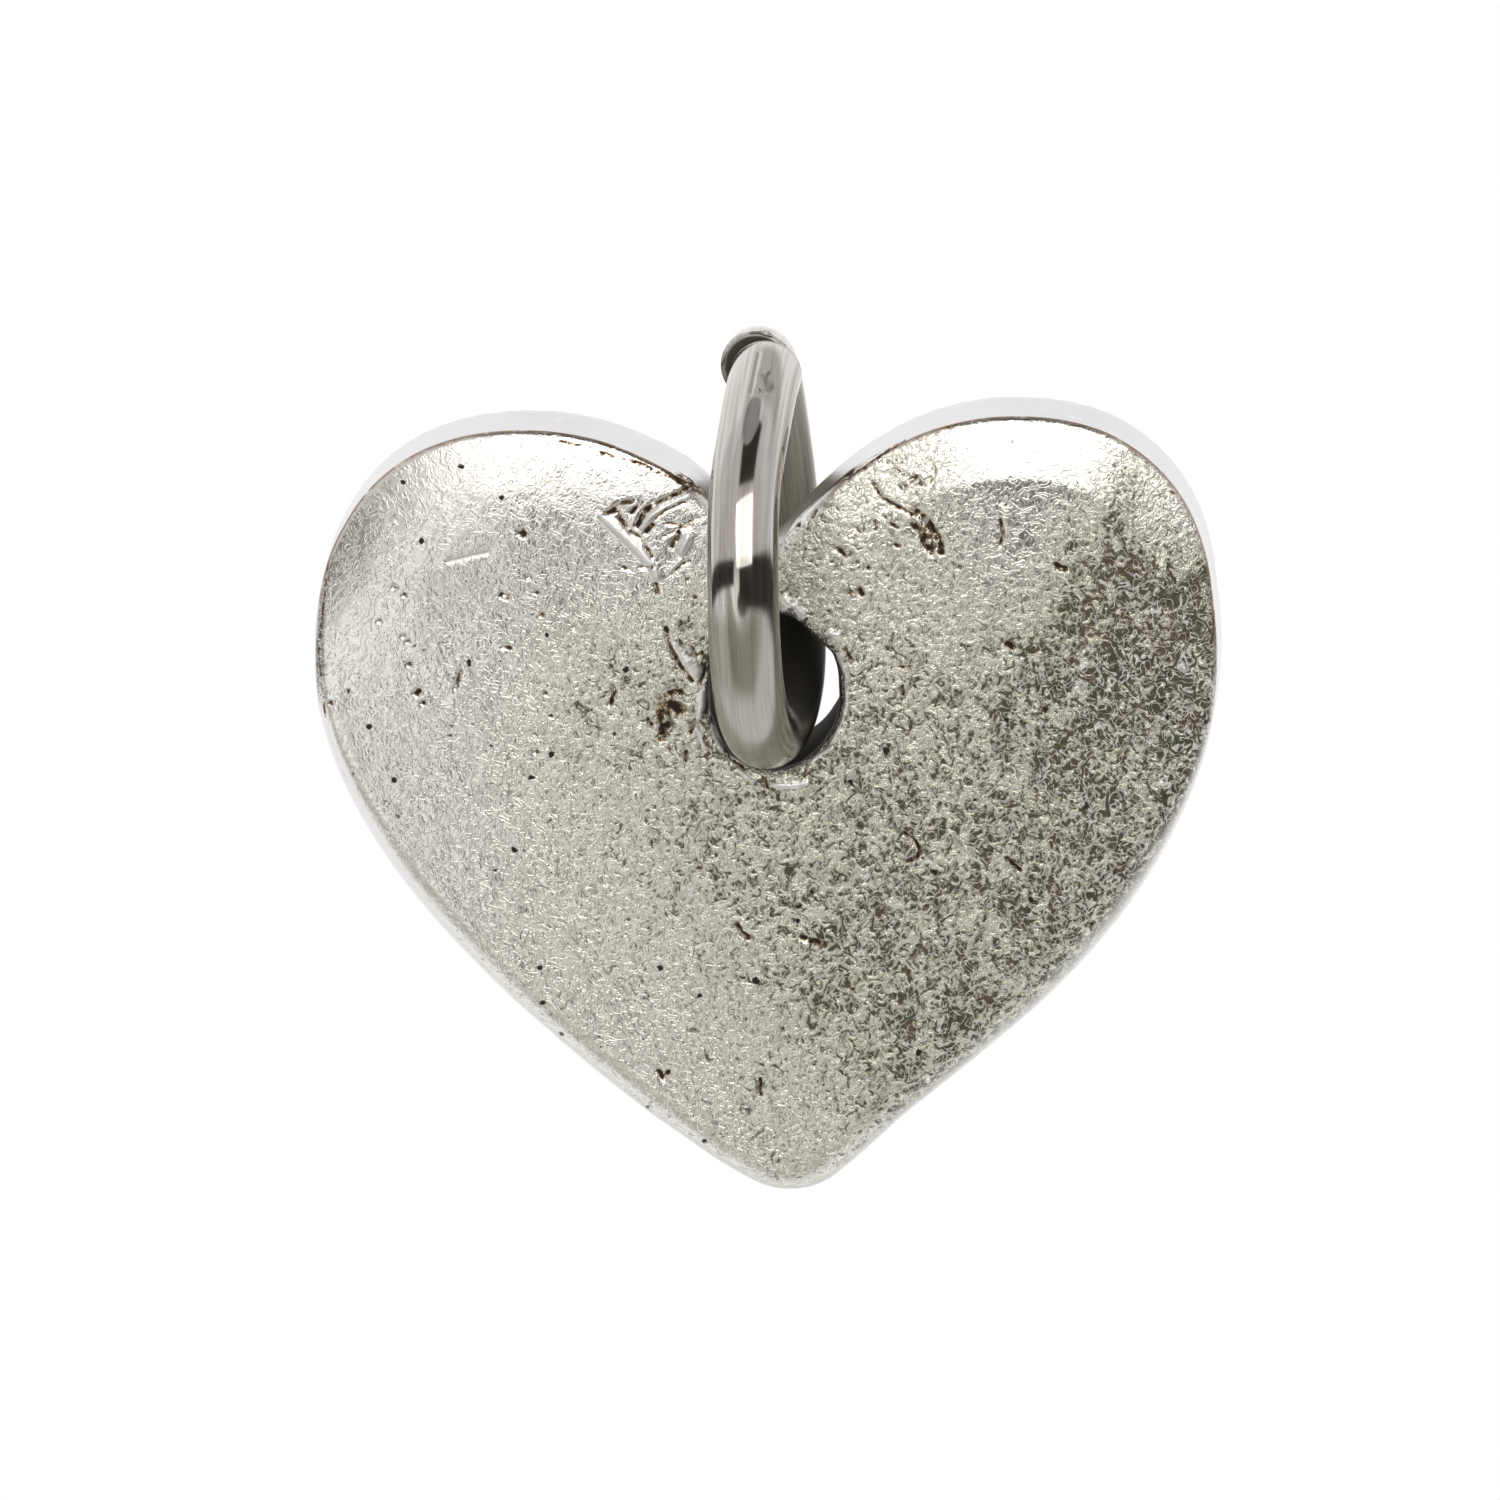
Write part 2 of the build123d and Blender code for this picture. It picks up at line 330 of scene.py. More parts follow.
def view_axes():
    """The photograph's right, up and towards-the-camera directions."""
    towards = direction(PHOTO_AZIMUTH, PHOTO_ELEVATION)
    right = direction(PHOTO_AZIMUTH + 90, 0)
    up = towards.cross(right)
    turn = Matrix.Rotation(math.radians(-PHOTO_ROLL), 3, towards)
    return turn @ right, turn @ up, towards


VIEW_RIGHT, VIEW_UP, VIEW_TOWARDS = view_axes()


def photo_place(point):
    """Where a point of the charm lies in the photograph, in pixels."""
    x = RING_MIDDLE_PIXEL[0] + point.dot(VIEW_RIGHT) / MM * PHOTO_SCALE
    y = RING_MIDDLE_PIXEL[1] - point.dot(VIEW_UP) / MM * PHOTO_SCALE
    return Vector((x, y, 0))


def line_points(points, step):
    """Pixels along a line of corners, no further apart than a step."""
    corners = [Vector((x, y, 0)) for x, y in zip(points[::2], points[1::2])]
    made = [corners[0]]
    for start, end in zip(corners, corners[1:]):
        count = max(1, math.ceil((end - start).length / step))
        made += [start.lerp(end, index / count) for index in range(1, count + 1)]
    return made


def split_near_marks(bm, marks, faces, margin):
    """Cuts the faces round each mark into quarters, so that the mesh can carry it."""
    tree = KDTree(len(faces))
    for index, face in enumerate(faces):
        tree.insert(photo_place(face.calc_center_median()), index)
    tree.balance()
    near = set()
    for width, _, _, *points in marks:
        for spot in line_points(points, width):
            near.update(index for _, index, _ in tree.find_range(spot, SPLIT_REACH * width + margin))
    split(bm, [faces[index] for index in near])


def in_view(verts, depth):
    """The points that face the photograph's camera and lie in front of a depth."""
    return [vert for vert in verts if vert.normal.dot(VIEW_TOWARDS) > FACING and vert.co.y < depth]


def press_marks(bm, layers, marks, verts):
    """Presses or raises each mark in the surface that the photograph shows, and notes its finish."""
    bm.normal_update()
    tree = KDTree(len(verts))
    for index, vert in enumerate(verts):
        tree.insert(photo_place(vert.co), index)
    tree.balance()
    moves = {}
    for width, rise, finish, *points in marks:
        layer = layers["worn" if rise > 0 else "stain"]
        reach = MARK_REACH * width
        nearest = {}
        for spot in line_points(points, MARK_STEP * width):
            for _, index, distance in tree.find_range(spot, reach):
                nearest[index] = min(distance, nearest.get(index, distance))
        for index, distance in nearest.items():
            weight = (1 - (distance / reach) ** 2) ** 2
            moves[index] = moves.get(index, 0.0) + weight * rise * 0.001 * MM
            vert = verts[index]
            vert[layer] = max(vert[layer], finish * weight)
    for index, move in moves.items():
        verts[index].co += verts[index].normal * move


def blend_step(value, low, high):
    """0 at low, 1 at high and smooth between."""
    part = min(max((value - low) / (high - low), 0.0), 1.0)
    return part * part * (3 - 2 * part)


def table_value(table, degrees):
    """A value read from a table of (degrees, value) pairs, in straight lines between them."""
    for (low, first), (high, last) in zip(table, table[1:]):
        if degrees <= high:
            return first + (last - first) * (degrees - low) / (high - low)
    return table[-1][1]


def new_object(name, bm):
    """A smooth-shaded object that holds a bmesh, with its faces pointing outwards."""
    bmesh.ops.recalc_face_normals(bm, faces=bm.faces)
    mesh = bpy.data.meshes.new(name)
    bm.to_mesh(mesh)
    bm.free()
    mesh.shade_smooth()
    piece = bpy.data.objects.new(name, mesh)
    bpy.context.scene.collection.objects.link(piece)
    return piece


class Value:
    """A node's output that takes part in sums like a plain number."""

    def __init__(self, nodes, socket):
        self.nodes = nodes
        self.socket = socket

    def math(self, operation, *values):
        inputs = dict(enumerate(values))
        return Value(self.nodes, self.nodes.add("ShaderNodeMath", inputs, operation=operation).outputs[0])

    def __add__(self, other):
        return self.math("ADD", self, other)

    def __sub__(self, other):
        return self.math("SUBTRACT", self, other)

    def __rsub__(self, other):
        return self.math("SUBTRACT", other, self)

    def __mul__(self, other):
        return self.math("MULTIPLY", self, other)

    def __or__(self, other):
        """The greater of the two."""
        return self.math("MAXIMUM", self, other)

    def __abs__(self):
        return self.math("ABSOLUTE", self)

    def ramp(self, low, high, to_low=0.0, to_high=1.0):
        """A smooth step from low to high."""
        inputs = {"Value": self, "From Min": low, "From Max": high, "To Min": to_low, "To Max": to_high}
        made = self.nodes.add("ShaderNodeMapRange", inputs, interpolation_type="SMOOTHSTEP")
        return Value(self.nodes, made.outputs[0])

    def band(self, low, high, soft):
        """1 between low and high, 0 outside, with soft limits."""
        return self.ramp(low - soft, low + soft) * self.ramp(high - soft, high + soft, 1.0, 0.0)


class Nodes:
    """A short way to write a node tree: each call adds a node and links what it is given."""

    def __init__(self, tree):
        self.tree = tree
        tree.nodes.clear()

    def add(self, kind, inputs=None, **settings):
        node = self.tree.nodes.new(kind)
        for key, value in settings.items():
            setattr(node, key, value)
        for key, value in (inputs or {}).items():
            value = getattr(value, "socket", value)
            if isinstance(value, bpy.types.NodeSocket):
                self.tree.links.new(value, node.inputs[key])
            else:
                node.inputs[key].default_value = value
        return node

    def mix(self, factor, a, b):
        """One colour where the factor is 0, another where it is 1."""
        a, b = (c if isinstance(c, bpy.types.NodeSocket) else (*c, 1.0) for c in (a, b))
        return self.add("ShaderNodeMix", {0: factor, 6: a, 7: b}, data_type="RGBA").outputs[2]

    def vector(self, operation, a, b):
        return self.add("ShaderNodeVectorMath", {0: a, 1: b}, operation=operation).outputs[0]

    def parts(self, vector):
        """The three parts of a vector or a colour."""
        return [Value(self, part) for part in self.add("ShaderNodeSeparateXYZ", {0: vector}).outputs]

    def noise(self, vector, scale, detail=2.0, roughness=0.5, distortion=0.0):
        inputs = {"Vector": vector, "Scale": scale, "Detail": detail, "Roughness": roughness}
        inputs["Distortion"] = distortion
        return Value(self, self.add("ShaderNodeTexNoise", inputs).outputs["Fac"])

    def attribute(self, name):
        return Value(self, self.add("ShaderNodeAttribute", attribute_name=name).outputs["Fac"])

    def place(self, output="Object"):
        return self.add("ShaderNodeTexCoord").outputs[output]

    def metal(self, tint, rough, bare, bump):
        """Ends the tree in a metal."""
        inputs = {"Base Color": tint, "Roughness": rough, "Metallic": bare, "Normal": bump.outputs[0]}
        shader = self.add("ShaderNodeBsdfPrincipled", inputs)
        self.add("ShaderNodeOutputMaterial", {"Surface": shader.outputs[0]})


def material(name):
    """An empty node material."""
    made = bpy.data.materials.new(name)
    made.use_nodes = True
    return made, Nodes(made.node_tree)


# What each point of the heart is, on a scale from 0 to 1, the painted shade on the hole's wall among them
HEART_LAYERS = ("wall", "dirt", "patina", "stain", "worn", "shade_and_dirt")

# The skin's patterns are turned away from the axes, and pores are laid out flat over the front
SKIN_TURN = (0.6, 0.35, 0.9)
FLAT = (1, 0, 1)

# The drawn lines' pattern, in grains to the millimetre along and across the wire
DRAWN_LINES = (0.35, 11.0, 11.0)


def cast_silver(settings):
    """Silver plate over a pebbled casting skin, dull in the hollows, brown in the stains and painted near
    black as shade on the hole's wall.
    """
    made, nodes = material("cast_silver")
    straight = nodes.place()
    place = nodes.add("ShaderNodeMapping", {"Vector": straight, "Rotation": SKIN_TURN}).outputs[0]
    wall, dirt, patina, stain, worn, shade_and_dirt = (nodes.attribute(name) for name in HEART_LAYERS)
    face = 1.0 - wall
    unrubbed = 1.0 - worn

    # The casting skin: fine grains, short pale ridges and the dull hollows between them
    grain = nodes.noise(place, 6.2 * PER_MM, 3.0, 0.6, 1.4)
    clouds = nodes.noise(place, 1.7 * PER_MM, 1.0) - 0.5
    folds = abs(nodes.noise(place, 4.2 * PER_MM, 1.0, 0.5, 1.6) - 0.5)
    ridges = folds.ramp(0.012, 0.055, 1.0, 0.0)
    level = patina * 0.25 + 0.27 + clouds * patina * 0.22
    dull = (grain - level).ramp(-0.1, 0.07, 1.0, 0.0) * face * 0.95

    # Pores: some of the cells of a warped pattern, each with its own size
    warp = nodes.add("ShaderNodeTexNoise", {"Vector": place, "Scale": 9 * PER_MM}).outputs["Color"]
    warp = nodes.vector("MULTIPLY", warp, (0.13 * MM,) * 3)
    bent = nodes.vector("ADD", nodes.vector("MULTIPLY", straight, FLAT), warp)
    bent = nodes.vector("MULTIPLY", bent, FLAT)
    cells = nodes.add("ShaderNodeTexVoronoi", {"Vector": bent, "Scale": 3 * PER_MM})
    chance, size, _ = nodes.parts(cells.outputs["Color"])
    pore_edge = Value(nodes, cells.outputs["Distance"]) - size.ramp(0.0, 1.0, 0.06, 0.17)
    pores = pore_edge.ramp(-0.05, 0.02, 1.0, 0.0) * chance.ramp(0.68, 0.7) * face

    # Plate, patina in the hollows, pale ridges, and bare metal on the walls and on rubbed marks
    hue = nodes.noise(place, 2.6 * PER_MM, 2.0, 0.6).ramp(0.4, 0.62)
    patina_tint = nodes.mix(hue, settings.patina, settings.patina_warm)
    tint = nodes.mix(dull, nodes.mix(patina, settings.plate, settings.skin), patina_tint)
    tint = nodes.mix(ridges * face * patina * 0.75, tint, settings.ridge)
    tint = nodes.mix(wall, tint, settings.silver)
    tint = nodes.mix(worn, tint, settings.rubbed)

    # Brown stains, the dark dirt in pores and deep stains, and painted shade on the hole's wall
    mottle = nodes.noise(place, 9 * PER_MM, 2.0, 0.6) - 0.5
    smudge = stain * 0.85 + mottle * stain * 4.2
    broken = dirt * nodes.noise(place, 3.1 * PER_MM, 2.0, 0.6).ramp(0.24, 0.46)
    tint = nodes.mix(smudge.ramp(0.2, 0.5) | broken, tint, settings.rust)
    # The near-black mix: painted shade on the hole's wall, and dark dirt in pores and deep stains
    dark_dirt_and_shade = shade_and_dirt | (pores | smudge.ramp(0.45, 0.85)) * unrubbed
    tint = nodes.mix(dark_dirt_and_shade, tint, settings.shade_and_dirt)
    bare = 1.0 - (dark_dirt_and_shade | worn * 0.15)

    height = ridges * 0.5 + grain - pores * 0.8
    strength = (patina * 0.85 + 0.09) * face * unrubbed + 0.04
    bump = nodes.add("ShaderNodeBump", {"Strength": strength, "Distance": 0.05 * MM, "Height": height})
    uneven = nodes.noise(place, 0.9 * PER_MM, 3.0, 0.6).ramp(0.3, 0.7, 0.17, 0.23)
    rough = dull * 0.15 + face * patina * 0.05 + dark_dirt_and_shade * 0.7 + worn * 0.16 + uneven
    nodes.metal(tint, rough, bare, bump)
    return made


def nickel_wire(settings):
    """Drawn nickel-plated wire, with fine lines along it, painted shade on its lower front and inner side,
    and darker cut ends.
    """
    made, nodes = material("nickel_wire")
    along = nodes.add("ShaderNodeAttribute", attribute_name="wire").outputs["Vector"]
    stain, cut, shade_and_dirt = (nodes.attribute(name) for name in ("stain", "cut", "shade_and_dirt"))
    place = nodes.place()
    lines = nodes.noise(nodes.vector("MULTIPLY", along, DRAWN_LINES), 1.0, 3.0, 0.65)
    specks = nodes.noise(place, 7.0 * PER_MM, 2.0, 0.7).ramp(0.66, 0.74)
    edge = abs(nodes.parts(along)[1]).ramp(0.5, 0.57) * lines.ramp(0.35, 0.6, 0.35, 0.95)
    streaks = lines.ramp(0.4, 0.7, 0.0, 0.5)
    # The stain carries real marks and the painted shade on the wire's lower front and inner back
    stain_and_shade = stain * lines.ramp(0.3, 0.6, 1.15, 0.75)
    tint = nodes.mix(streaks | specks * 0.5 | stain_and_shade | cut | edge, settings.nickel, settings.tarnish_and_shade)
    # Near black where painted shade darkens the inner side, and on the cut ends
    tint = nodes.mix(shade_and_dirt, tint, settings.shade_and_dirt)
    smears = nodes.noise(place, 1.1 * PER_MM, 2.0, 0.5).ramp(0.3, 0.7, 0.05, 0.11)
    rough = smears + cut * 0.3 + stain * 0.2 + shade_and_dirt * 0.6
    height = lines - specks * 0.5
    bump = nodes.add("ShaderNodeBump", {"Strength": 0.35, "Distance": 0.004 * MM, "Height": height})
    nodes.metal(tint, rough, 1.0 - shade_and_dirt * 0.9, bump)
    return made


class Outline:
    """The heart's outline: an even, smooth, closed row of points, clockwise from the front."""

    def __init__(self, node, settings):
        level = HEART_BACK - settings.back_round
        slack = 0.002 * MM
        clear_of_hole = HOLE_RADIUS + 0.3 * MM
        spacing = 0.03 * MM
        corners = {}
        for vert in node.data.vertices:
            if abs(vert.co.y - level) < slack:
                flat = Vector((vert.co.x, vert.co.z))
                if hole_offset(flat).length > clear_of_hole:
                    corners[tuple(round(value / MM, 3) for value in flat)] = flat
        corners = sorted(corners.values(), key=clock_angle)
        count = len(corners)
        slopes = []
        for index, corner in enumerate(corners):
            back = corner - corners[index - 1]
            ahead = corners[(index + 1) % count] - corner
            slope = back / back.length_squared + ahead / ahead.length_squared
            slopes.append(slope.normalized())
        self.points = []
        self.flats = []
        for index, corner in enumerate(corners):
            following = (index + 1) % count
            target = corners[following]
            span = (target - corner).length
            cuts = max(2, round(span / spacing) + 1)
            handles = (corner + slopes[index] * span / 3, target - slopes[following] * span / 3)
            curve = geometry.interpolate_bezier(corner, *handles, target, cuts)
            for step, point in enumerate(curve[:-1]):
                self.points.append(point.to_2d())
                self.flats.append((point.to_2d() - corner.lerp(target, step / (cuts - 1))).length)
        self.tree = KDTree(len(self.points))
        for index, point in enumerate(self.points):
            self.tree.insert((point.x, point.y, 0), index)
        self.tree.balance()

    def near(self, flat):
        """The outline's nearest place, the direction inwards there and the solid's flatness."""
        _, index, _ = self.tree.find((flat.x, flat.y, 0))
        point = self.points[index]
        tangent = (self.points[(index + 1) % len(self.points)] - self.points[index - 1]).normalized()
        point = point + tangent * (flat - point).dot(tangent)
        return point, Vector((tangent.y, -tangent.x)), self.flats[index]


def hole_offset(flat):
    """From the hole's middle line to a place, square to the line."""
    return flat - Vector((0, min(max(flat.y, HOLE_LOWER), HOLE_UPPER)))


def clock_angle(flat, centre=HEART_CENTRE):
    """Degrees clockwise from the top, seen from the front."""
    return math.degrees(math.atan2(flat.x - centre.x, flat.y - centre.y)) % 360


def skin_of(node, step):
    """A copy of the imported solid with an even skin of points, finer at the front."""
    bm = bmesh.new()
    bm.from_mesh(node.data)
    bmesh.ops.remove_doubles(bm, verts=bm.verts, dist=0.0001 * MM)
    surface = BVHTree.FromBMesh(bm)
    rough = new_object("heart_blank", bm)
    remesh = rough.modifiers.new("skin", "REMESH")
    remesh.mode = "VOXEL"
    remesh.voxel_size = step
    bpy.context.view_layer.update()
    even = bpy.data.meshes.new_from_object(rough.evaluated_get(bpy.context.evaluated_depsgraph_get()))
    bpy.data.objects.remove(rough)
    bm = bmesh.new()
    bm.from_mesh(even)
    bpy.data.meshes.remove(even)
    bm.normal_update()
    split(bm, [face for face in bm.faces if seen_from_front(face)])
    marked = HEART_FRONT + MARKED_DEPTH
    faces = [face for face in bm.faces if face.calc_center_median().y < marked]
    split_near_marks(bm, HEART_MARKS, faces, margin=5)
    for vert in bm.verts:
        vert.co = surface.find_nearest(vert.co)[0]
    return bm


def seen_from_front(face):
    """Whether a face belongs to the front, the front edge or the upper wall."""
    middle = face.calc_center_median()
    if middle.y < HEART_FRONT + FINE_DEPTH:
        return True
    upper = middle.z > FINE_WALL and face.normal.z > 0.15
    return upper and face.normal.y < 0.9 and middle.y < HEART_BACK - 0.1 * MM


def split(bm, faces):
    """Cuts faces into quarters."""
    edges = list({edge for face in faces for edge in face.edges})
    bmesh.ops.subdivide_edges(bm, edges=edges, cuts=1, use_grid_fill=True, use_single_edge=True)


def edge_place(across, depth, old_round, new_round, reach):
    """Where a point on a rounded edge goes when the edge's radius changes, evenly spaced."""
    quarter = math.pi / 2
    if depth >= old_round:
        walked = reach - depth
    elif across >= old_round:
        walked = reach - old_round + quarter * old_round + across - old_round
    else:
        walked = reach - old_round + old_round * math.atan2(old_round - depth, old_round - across)
    old_length = 2 * (reach - old_round) + quarter * old_round
    new_length = 2 * (reach - new_round) + quarter * new_round
    walked = walked * new_length / old_length - (reach - new_round)
    if walked <= 0:
        return 0.0, new_round - walked
    turn = walked / new_round
    if turn < quarter:
        return new_round * (1 - math.cos(turn)), new_round * (1 - math.sin(turn))
    return new_round + walked - quarter * new_round, 0.0


def dome_depth(flat, settings):
    """How far the plain domed front lies behind its foremost point."""
    radius = (HALF_WIDTH**2 + settings.dome_rise**2) / (2 * settings.dome_rise)
    return radius - math.sqrt(radius**2 - (flat - HEART_CENTRE).length_squared)


def roll_back(across, degrees, settings):
    """How far the front rolls back near the lobes' edges."""
    weight = table_value(LOBE_SHARES, degrees)
    if weight <= 0:
        return 0.0
    reach, power = ROLL_LEFT if degrees > 180 else ROLL_RIGHT
    return settings.roll_depth * weight * max(0.0, 1 - across / reach) ** power


def shape_front(bm, outline, settings):
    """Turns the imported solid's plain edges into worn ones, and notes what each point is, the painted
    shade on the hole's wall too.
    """
    layers = {name: bm.verts.layers.float.new(name) for name in HEART_LAYERS}
    hole_reach = settings.hole_round + HOLE_MARGIN
    flat_reach = 0.6 * MM
    roll_fade = 1.2 * MM
    for vert in bm.verts:
        flat = Vector((vert.co.x, vert.co.z))
        depth = vert.co.y - HEART_FRONT - dome_depth(flat, settings)
        out = hole_offset(flat)
        hole_gap = max(0.0, out.length - HOLE_RADIUS)
        point, inward, flatness = outline.near(flat)
        degrees = clock_angle(point)
        across = (flat - point).dot(inward)
        across = max(0.0, across - flatness * max(0.0, 1 - across / flat_reach))
        edge_round = table_value(EDGE_ROUNDS, degrees) * MM
        edge_reach = max(edge_round, settings.front_round) + EDGE_MARGIN
        if hole_gap < hole_reach:
            if depth < hole_reach:
                hole_gap, depth = edge_place(
                    hole_gap, depth, settings.hole_bevel, settings.hole_round, hole_reach
                )
            closing = table_value(HOLE_CLOSING, clock_angle(out, Vector((0, 0)))) * MM
            closing *= 1 - hole_gap / (hole_reach + 0.1 * MM)
            flat = flat - out + out.normalized() * (HOLE_RADIUS - closing + hole_gap)
            bare = blend_step(depth, 0.1 * settings.hole_round, 0.8 * settings.hole_round)
            inside = blend_step(hole_gap, 0.08 * MM, 0.0)
            # Painted shade: the hole's wall is darkened to near black, deeper in than its rim
            vert[layers["shade_and_dirt"]] = inside * blend_step(depth, 0.1 * MM, 0.25 * MM)
        else:
            if across < edge_reach and depth < edge_reach:
                across, depth = edge_place(across, depth, settings.front_round, edge_round, edge_reach)
            if across < SHIFT_REACH:
                flat = point + inward * across
                shift = table_value(EDGE_SHIFTS, degrees) * MM * blend_step(across, SHIFT_REACH, 0.0)
                flat += (flat - HEART_CENTRE).normalized() * shift
            limit = max(edge_round, 0.06 * MM)
            bare = blend_step(depth, 0.12 * limit, 0.75 * limit)
            if abs(degrees - 180) > 180 - NOTCH_SPAN:
                bare = blend_step(depth, *NOTCH_BARE)
            crisp = blend_step(edge_round, 0.2 * MM, 0.08 * MM)
            line = math.exp(-(((depth - DIRT_DEPTH) / DIRT_WIDTH) ** 2))
            line *= blend_step(depth, 0.005 * MM, 0.03 * MM)
            vert[layers["dirt"]] = crisp * max(line, DIRT_FILM)
        at_back = blend_step(vert.co.y, HEART_BACK - 0.1 * MM, HEART_BACK)
        vert[layers["wall"]] = bare * (1 - 0.7 * at_back)
        roll = roll_back(across, degrees, settings) if hole_gap >= hole_reach else 0.0
        fade = max(0.0, 1 - max(0.0, depth) / roll_fade)
        if vert.co.y < HEART_BACK - 0.001 * MM:
            front = HEART_FRONT + dome_depth(flat, settings)
            vert.co = (flat.x, min(front + depth + roll * fade, HEART_BACK), flat.y)
        else:
            vert.co = (flat.x, vert.co.y, flat.y)
    return layers


def spread_patina(bm, layers):
    """Blends the patina's patches over the front, with a plain amount on the back."""
    plain, uneven, cloud = 0.75, 0.35, 2.6 * MM
    for vert in bm.verts:
        place = photo_place(vert.co)
        total = 0.0001
        amount = 0.0
        for x, y, reach, patina in PATINA_PATCHES:
            weight = math.exp(-((place.x - x) ** 2 + (place.y - y) ** 2) / reach**2)
            total += weight
            amount += weight * patina
        front = blend_step(vert.co.y, 1.2 * MM, 0.6 * MM)
        back = plain + uneven * noise.noise(vert.co / cloud)
        vert[layers["patina"]] = front * amount / total + (1 - front) * back


def roughen(bm, layers, settings):
    """The slow swell of hand finishing and the pebbles of the casting skin, all cut inwards."""
    bm.normal_update()
    broad, small, pebble = 2.3 * MM, 0.9 * MM, 0.3 * MM
    moves = []
    for vert in bm.verts:
        slow = noise.noise(vert.co / broad) * 0.6 + noise.noise(vert.co / small) * 0.25
        fine = noise.fractal(vert.co / pebble, 0.8, 2.0, 2)
        skin = 1 - 0.85 * vert[layers["wall"]]
        depth = (0.5 + 0.5 * slow) * settings.swell + (0.5 + 0.5 * fine) * settings.pebble * skin
        moves.append(vert.normal * -depth)
    for vert, move in zip(bm.verts, moves):
        vert.co += move


def keep_inside(bm):
    """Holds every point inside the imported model's box."""
    for vert in bm.verts:
        vert.co = [min(max(value, low), high) for value, low, high in zip(vert.co, *cad_box)]


class CHARM_OT_heart(Operator):
    """Cast the heart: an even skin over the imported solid, worn edges and a pebbled surface"""

    bl_idname = "charm.heart"
    bl_label = "Cast Heart"

    def execute(self, context):
        settings = context.scene.charm_heart
        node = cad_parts["heart"]
        outline = Outline(node, settings)
        bm = skin_of(node, settings.skin_step)
        layers = shape_front(bm, outline, settings)
        spread_patina(bm, layers)
        roughen(bm, layers, settings)
        bm.normal_update()
        # Marks keep off the hole's wall, where the painted shade is
        clean = [vert for vert in bm.verts if vert[layers["shade_and_dirt"]] < 0.1]
        press_marks(bm, layers, HEART_MARKS, in_view(clean, HEART_FRONT + PRESSED_DEPTH))
        keep_inside(bm)
        piece = new_object("cast_heart", bm)
        piece.data.materials.append(cast_silver(settings))
        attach(piece, "heart")
        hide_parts("heart")
        return {"FINISHED"}


# How far the wire strays sideways and outwards from a true circle, as shares of its diameter, in
# even steps from the front end, round the bottom, to the back end
SIDE_SHARES = (0.09, 0.01, -0.14, -0.19, -0.205, -0.15, 0.0, 0.13, 0.12, 0.06, -0.01, -0.04, -0.05)
REACH_SHARES = (-0.06, -0.025, 0, -0.012, 0, 0, 0, 0, 0, 0, 0, 0.01, 0.03)


def stray(shares, turn, settings):
    """The wire's stray at a turn from the bottom, smooth between the steps."""
    steps = len(shares) - 1
    along = min(max((turn / math.pi + 1) / 2 * steps, 0.0), steps - 0.0001)
    index = int(along)
    before, first, last, after = (shares[min(max(index + k, 0), steps)] for k in (-1, 0, 1, 2))
    part = along - index
    slope, next_slope = (last - before) / 2, (after - first) / 2
    rest = 3 * (last - first) - 2 * slope - next_slope
    bend = 2 * (first - last) + slope + next_slope
    return (first + part * (slope + part * (rest + part * bend))) * settings.wire


def open_wire(settings, ring_radius, half_gap):
    """Round wire spun from one cut end to the other, with both ends capped and rounded off."""
    bm = bmesh.new()
    upright = Matrix.Rotation(math.pi / 2, 4, "X")
    lowered = Matrix.Translation((0, 0, -ring_radius)) @ upright
    start = Matrix.Rotation(half_gap - math.pi, 4, "X") @ lowered
    made = bmesh.ops.create_circle(
        bm, cap_ends=True, radius=settings.wire / 2, segments=settings.sides, matrix=start
    )
    rim = list({edge for vert in made["verts"] for edge in vert.link_edges})
    disc = [*made["verts"], *rim]
    angle = 2 * (math.pi - half_gap)
    spun = bmesh.ops.spin(bm, geom=disc, axis=(1, 0, 0), angle=angle, steps=settings.steps)
    end_rim = [item for item in spun["geom_last"] if isinstance(item, bmesh.types.BMEdge)]
    bmesh.ops.contextual_create(bm, geom=end_rim)
    sharp = [edge for face in bm.faces if len(face.verts) > 4 for edge in face.edges]
    offset = settings.end_round
    bmesh.ops.bevel(bm, geom=sharp, offset=offset, affect="EDGES", segments=3, profile=0.5, material=-1)
    return bm


